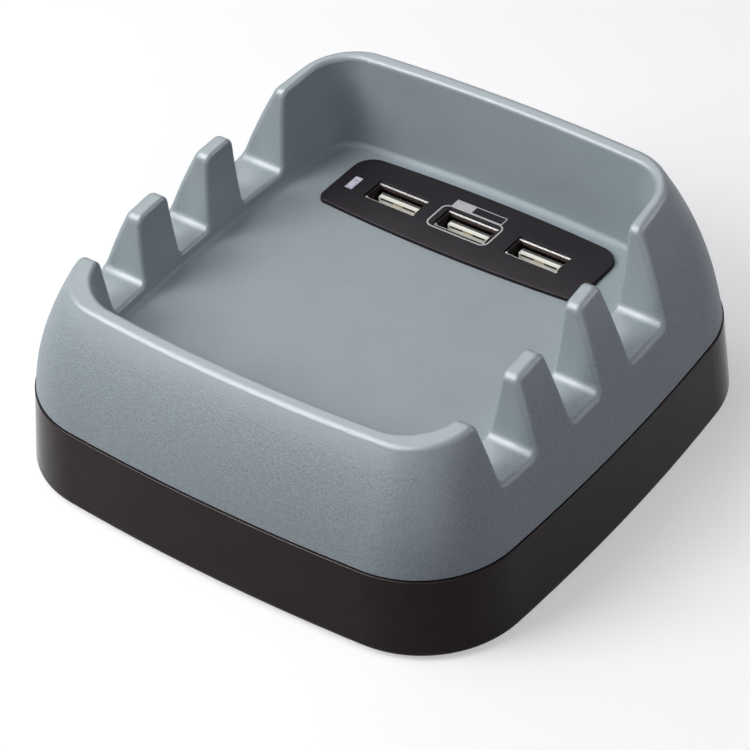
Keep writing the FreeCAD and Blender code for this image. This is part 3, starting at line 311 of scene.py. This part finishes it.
def matte_plastic(name, dark, light, roughness, grain_mm=0.5, depth_mm=0.02):
    """Moulded or potted material with a fine skin."""
    material, tree, shader = new_material(name)
    grain = noise(tree, grain_mm)
    cloud = noise(tree, grain_mm * 12.0)
    feed(tree, shader, colour=mottled(tree, cloud, dark, light))
    feed(tree, shader, roughness=ranged(tree, grain, roughness - 0.06, roughness + 0.06))
    feed(tree, shader, normal=bump(tree, grain, depth_mm, strength=0.5))
    return material


def drawn_metal(name, dark, light, roughness, stretch):
    """Plated or drawn metal with fine lines along one direction."""
    material, tree, shader = new_material(name)
    lines = noise(tree, size_mm=0.25, stretch=stretch)
    cloud = noise(tree, size_mm=3.0)
    feed(tree, shader, metallic=1.0, colour=mottled(tree, cloud, dark, light))
    feed(tree, shader, roughness=ranged(tree, lines, roughness - 0.06, roughness + 0.08))
    feed(tree, shader, normal=bump(tree, lines, depth_mm=0.006, strength=0.4))
    return material


def painted_light_socket_metal(name):
    """Plated steel with painted light: a painted highlight on the rear lip, the front wall painted bright
    to throw light on the tongue, and painted shade elsewhere.
    """
    material, tree, shader = new_material(name)
    lines = noise(tree, size_mm=0.25, stretch=ALONG_Z)
    depth = along(tree, "Y")
    lip = ranged(tree, along(tree, "Z"), 0.0, 1.0, LIP_FOOT * MM, LIP_TOP * MM)
    rear = ranged(tree, depth, 0.0, 1.0, LIP_FRONT * MM, LIP_REAR * MM)
    rear_lip_highlight = combined(tree, "MULTIPLY", lip, rear)
    # The front wall is painted bright so that it throws light onto the tongue's face
    front = ranged(tree, depth, 1.0, 0.0, FRONT_WALL * MM, FRONT_WALL_END * MM)
    painted_light = combined(tree, "MAXIMUM", rear_lip_highlight, front)
    feed(tree, shader, metallic=1.0)
    # Near-black painted shade, and plated steel where the painted light is
    feed(tree, shader, colour=blended(tree, painted_light, (0.030, 0.022, 0.020), (0.55, 0.54, 0.53)))
    feed(tree, shader, roughness=ranged(tree, lines, low=0.20, high=0.32))
    feed(tree, shader, normal=bump(tree, lines, depth_mm=0.004, strength=0.3))
    return material


def frosted_light(name):
    """The indicator's pale window: cloudy plastic that lets a little light through."""
    material, tree, shader = new_material(name)
    cloud = noise(tree, size_mm=1.2)
    feed(tree, shader, colour=mottled(tree, cloud, (0.74, 0.71, 0.84), (0.84, 0.81, 0.93)))
    feed(tree, shader, roughness=ranged(tree, cloud, low=0.22, high=0.32), clear=0.15)
    return material


def circuit_board(name):
    """Green solder mask over a faint weave."""
    material, tree, shader = new_material(name)
    flat = place(tree, (1.0, 1.0, 0.0))
    weave = add(tree, "ShaderNodeTexWave", {
        "Vector": flat, "Scale": 900.0, "Distortion": 1.5, "Detail": 2.0}).outputs[1]
    cloud = noise(tree, size_mm=6.0)
    feed(tree, shader, colour=mottled(tree, cloud, (0.035, 0.16, 0.07), (0.06, 0.23, 0.10)))
    feed(tree, shader, roughness=ranged(tree, cloud, low=0.28, high=0.36))
    feed(tree, shader, normal=bump(tree, weave, depth_mm=0.008, strength=0.3))
    return material


MATERIALS = {
    "tray_grey": tray_plastic("tray_grey"),
    "base_black": base_plastic("base_black"),
    "panel_black": panel_plastic("panel_black"),
    "socket_steel": painted_light_socket_metal("socket_steel"),
    "insulator_white": matte_plastic("insulator_white", (0.95, 0.94, 0.81), (0.99, 0.98, 0.87), 0.36),
    "contact_gold": drawn_metal("contact_gold", (0.72, 0.52, 0.24), (0.84, 0.64, 0.34), 0.28, ALONG_Z),
    "light_clear": frosted_light("light_clear"),
    "lamp_white": matte_plastic("lamp_white", (0.84, 0.83, 0.76), (0.92, 0.91, 0.85), 0.30),
    "board_green": circuit_board("board_green"),
    "chip_black": matte_plastic("chip_black", (0.022, 0.022, 0.023), (0.036, 0.036, 0.037), 0.55),
    "ceramic_tan": matte_plastic("ceramic_tan", (0.48, 0.36, 0.22), (0.60, 0.47, 0.30), 0.50, 0.2),
    "can_silver": drawn_metal("can_silver", (0.64, 0.64, 0.66), (0.76, 0.76, 0.78), 0.24, ALONG_Z),
    "ferrite_grey": matte_plastic("ferrite_grey", (0.12, 0.12, 0.13), (0.19, 0.19, 0.20), 0.62, 0.3, 0.04),
    "fuse_yellow": matte_plastic("fuse_yellow", (0.62, 0.48, 0.09), (0.76, 0.60, 0.15), 0.46),
    "inlet_black": matte_plastic("inlet_black", (0.018, 0.018, 0.019), (0.030, 0.030, 0.031), 0.42),
    "pin_brass": drawn_metal("pin_brass", (0.68, 0.56, 0.30), (0.80, 0.68, 0.42), 0.24, ALONG_Y),
    "connector_cream": matte_plastic("connector_cream", (0.80, 0.77, 0.66), (0.88, 0.85, 0.75), 0.45),
    "wire_red": matte_plastic("wire_red", (0.48, 0.030, 0.022), (0.60, 0.048, 0.036), 0.38),
    "wire_black": matte_plastic("wire_black", (0.015, 0.015, 0.015), (0.026, 0.026, 0.026), 0.38),
    "foot_rubber": matte_plastic(
        "foot_rubber", (0.022, 0.022, 0.024), (0.040, 0.040, 0.042), 0.72, 0.3, 0.04),
    "screw_zinc": drawn_metal("screw_zinc", (0.58, 0.58, 0.56), (0.72, 0.72, 0.70), 0.30, ALONG_Z),
}
PRINT_INK = matte_plastic("print_ink", (0.46, 0.455, 0.46), (0.54, 0.535, 0.54), 0.5, 0.3, 0.004)


def dress_nodes():
    """Gives each CAD node its slot's material."""
    for part in frame["record"]["subparts"]:
        mesh = nodes[part["node"]].data
        mesh.materials.clear()
        mesh.materials.append(MATERIALS[part["material_slot"]])


def rounded_outline(left, right, front, back, radius, steps=10):
    """Points round a rectangle with round corners, anticlockwise."""
    points = []
    corners = [(right, back, 0), (left, back, 90), (left, front, 180), (right, front, 270)]
    for x, y, turn in corners:
        middle_x = x - math.copysign(radius, x - (left + right) / 2)
        middle_y = y - math.copysign(radius, y - (front + back) / 2)
        for step in range(steps + 1):
            angle = math.radians(turn + 90 * step / steps)
            points.append((middle_x + radius * math.cos(angle), middle_y + radius * math.sin(angle)))
    return points


def new_piece(name, mesh_builder, material):
    """An object from a bmesh, riding on the part."""
    shape = bmesh.new()
    mesh_builder(shape)
    bmesh.ops.recalc_face_normals(shape, faces=shape.faces)
    mesh = bpy.data.meshes.new(name)
    shape.to_mesh(mesh)
    shape.free()
    mesh.materials.append(material)
    piece = bpy.data.objects.new(name, mesh)
    bpy.context.scene.collection.objects.link(piece)
    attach(piece, "root")
    return piece


def loop_at(shape, points, z):
    """Corners at the points, all at one height."""
    return [shape.verts.new((x * MM, y * MM, z * MM)) for x, y in points]


def wall(shape, lower, upper):
    """Faces between two loops of as many points."""
    count = len(lower)
    for number in range(count):
        following = (number + 1) % count
        shape.faces.new((lower[number], lower[following], upper[following], upper[number]))


def ring(shape, outer, inner, low, high):
    """A closed band between two outlines."""
    loops = [loop_at(shape, outer, low), loop_at(shape, outer, high),
             loop_at(shape, inner, high), loop_at(shape, inner, low)]
    for first, second in zip(loops, loops[1:] + loops[:1]):
        wall(shape, first, second)


def plate(shape, outline, low, high):
    """A closed plate."""
    lower = loop_at(shape, outline, low)
    upper = loop_at(shape, outline, high)
    wall(shape, lower, upper)
    shape.faces.new(upper)
    shape.faces.new(lower[::-1])


def add_port_print():
    """The light outline printed round the middle socket, with a blank tab behind it."""
    left, right, front, back = PRINT_BOX
    line = PRINT_LINE
    thin = TAB_LINE
    top = PANEL_TOP + PRINT_HEIGHT

    def outline(shape):
        outer = rounded_outline(left, right, front, back, PRINT_CORNER)
        inner = rounded_outline(left + line, right - line, front + line, back - line, PRINT_CORNER - line)
        ring(shape, outer, inner, PANEL_TOP, top)

    def filled_tab(shape):
        outer = rounded_outline(TAB_LEFT, TAB_SPLIT, back, TAB_BACK, FILLED_TAB_CORNER)
        plate(shape, outer, PANEL_TOP, top)

    def open_tab(shape):
        outer = rounded_outline(TAB_SPLIT, TAB_RIGHT, back, TAB_BACK, OPEN_TAB_CORNER)
        inner = rounded_outline(
            TAB_SPLIT + thin, TAB_RIGHT - thin, back + thin, TAB_BACK - thin, OPEN_TAB_INNER_CORNER)
        ring(shape, outer, inner, PANEL_TOP, top)

    for name, builder in (
            ("port_outline", outline), ("port_tab_left", filled_tab), ("port_tab_right", open_tab)):
        piece = new_piece(name, builder, PRINT_INK)


def add_tongue_trim():
    """A tan piece in the middle of each socket tongue's slit, black sheets of painted shade to its sides,
    and a black sheet of painted shade along the rear of its tip.
    """
    for side, x in PORT_PLACES.items():
        for name, (slot, left, right, front, back, low, high) in TONGUE_TRIM.items():
            outline = rounded_outline(
                x + left, x + right, TONGUE_FACE + front, TONGUE_FACE + back, TRIM_CORNER, TRIM_STEPS)

            def trim(shape):
                plate(shape, outline, TONGUE_TIP + low, TONGUE_TIP + high)

            piece = new_piece(f"{name}_{side}", trim, MATERIALS[slot])


def shows_white(tree):
    """1 for rays that look straight at the backdrop, off a gloss or through clear plastic."""
    rays = add(tree, "ShaderNodeLightPath").outputs
    seen = combined(tree, "MAXIMUM", rays["Is Camera Ray"], rays["Is Glossy Ray"])
    return combined(tree, "MAXIMUM", seen, rays["Is Transmission Ray"])


def grey_matt(tree, level):
    """A matt surface of one grey."""
    return add(tree, "ShaderNodeBsdfDiffuse", {"Color": (level, level, level, 1.0)}).outputs[0]


def add_floor():
    """A plain pale floor that shows white and keeps the part's shadow."""
    bpy.ops.mesh.primitive_plane_add(size=2 * FLOOR_HALF, location=(0, 0, 0))
    floor = bpy.context.object
    floor.name = "floor"
    material = bpy.data.materials.new("floor")
    material.use_nodes = True
    tree = material.node_tree
    tree.nodes.clear()
    lift = add(tree, "ShaderNodeEmission", {"Strength": FLOOR_LIFT}).outputs[0]
    white = add(tree, "ShaderNodeAddShader", {0: grey_matt(tree, FLOOR_SEEN), 1: lift}).outputs[0]
    mix = add(tree, "ShaderNodeMixShader", {
        0: shows_white(tree), 1: grey_matt(tree, FLOOR_BOUNCE), 2: white})
    add(tree, "ShaderNodeOutputMaterial", {"Surface": mix.outputs[0]})
    floor.data.materials.append(material)


def add_world():
    """A faint cool light from all round, which shows white where it is seen."""
    world = bpy.data.worlds.new("studio")
    bpy.context.scene.world = world
    world.use_nodes = True
    tree = world.node_tree
    tree.nodes.clear()
    seen = shows_white(tree)
    strength = ranged(tree, seen, AMBIENT, 1.0, 0.0, 1.0)
    tint = blended(tree, seen, AMBIENT_TINT, WHITE)
    sky = add(tree, "ShaderNodeBackground", {"Color": tint, "Strength": strength})
    add(tree, "ShaderNodeOutputWorld", {"Surface": sky.outputs[0]})


def add_lights():
    """Soft studio lamps, all aimed at the part; some light only its gloss."""
    for name, values in LIGHTS.items():
        lamp = bpy.data.lights.new(name, "AREA")
        lamp.shape = "RECTANGLE"
        lamp.size, lamp.size_y = values["size"]
        lamp.energy = values["power"]
        lamp.color = values.get("tint", WHITE)
        holder = bpy.data.objects.new(name, lamp)
        holder.location = values["place"]
        aim = Vector(LIGHT_AIM) - holder.location
        holder.rotation_euler = aim.to_track_quat("-Z", "Y").to_euler()
        holder.visible_diffuse = not values.get("gloss_only", False)
        bpy.context.scene.collection.objects.link(holder)


def add_camera():
    """The camera that took the photograph, turned a little about its own axis."""
    camera = bpy.data.cameras.new("camera")
    camera.sensor_width = SENSOR_MM
    camera.lens = LENS_MM
    camera.clip_start = CAMERA_CLIP
    flat = math.cos(CAMERA_ELEVATION)
    back = Vector((
        math.sin(CAMERA_AZIMUTH) * flat, -math.cos(CAMERA_AZIMUTH) * flat, math.sin(CAMERA_ELEVATION)))
    right = Vector((math.cos(CAMERA_AZIMUTH), math.sin(CAMERA_AZIMUTH), 0.0))
    up = back.cross(right)
    across = right * math.cos(CAMERA_ROLL) + up * math.sin(CAMERA_ROLL)
    upward = up * math.cos(CAMERA_ROLL) - right * math.sin(CAMERA_ROLL)
    turn = Matrix((across, upward, back)).transposed()
    holder = bpy.data.objects.new("camera", camera)
    holder.matrix_world = Matrix.Translation(CAMERA_PLACE) @ turn.to_4x4()
    bpy.context.scene.collection.objects.link(holder)
    bpy.context.scene.camera = holder


dress_nodes()
add_port_print()
add_tongue_trim()
add_floor()
add_world()
add_lights()
add_camera()
bpy.context.scene.view_settings.view_transform = "Standard"
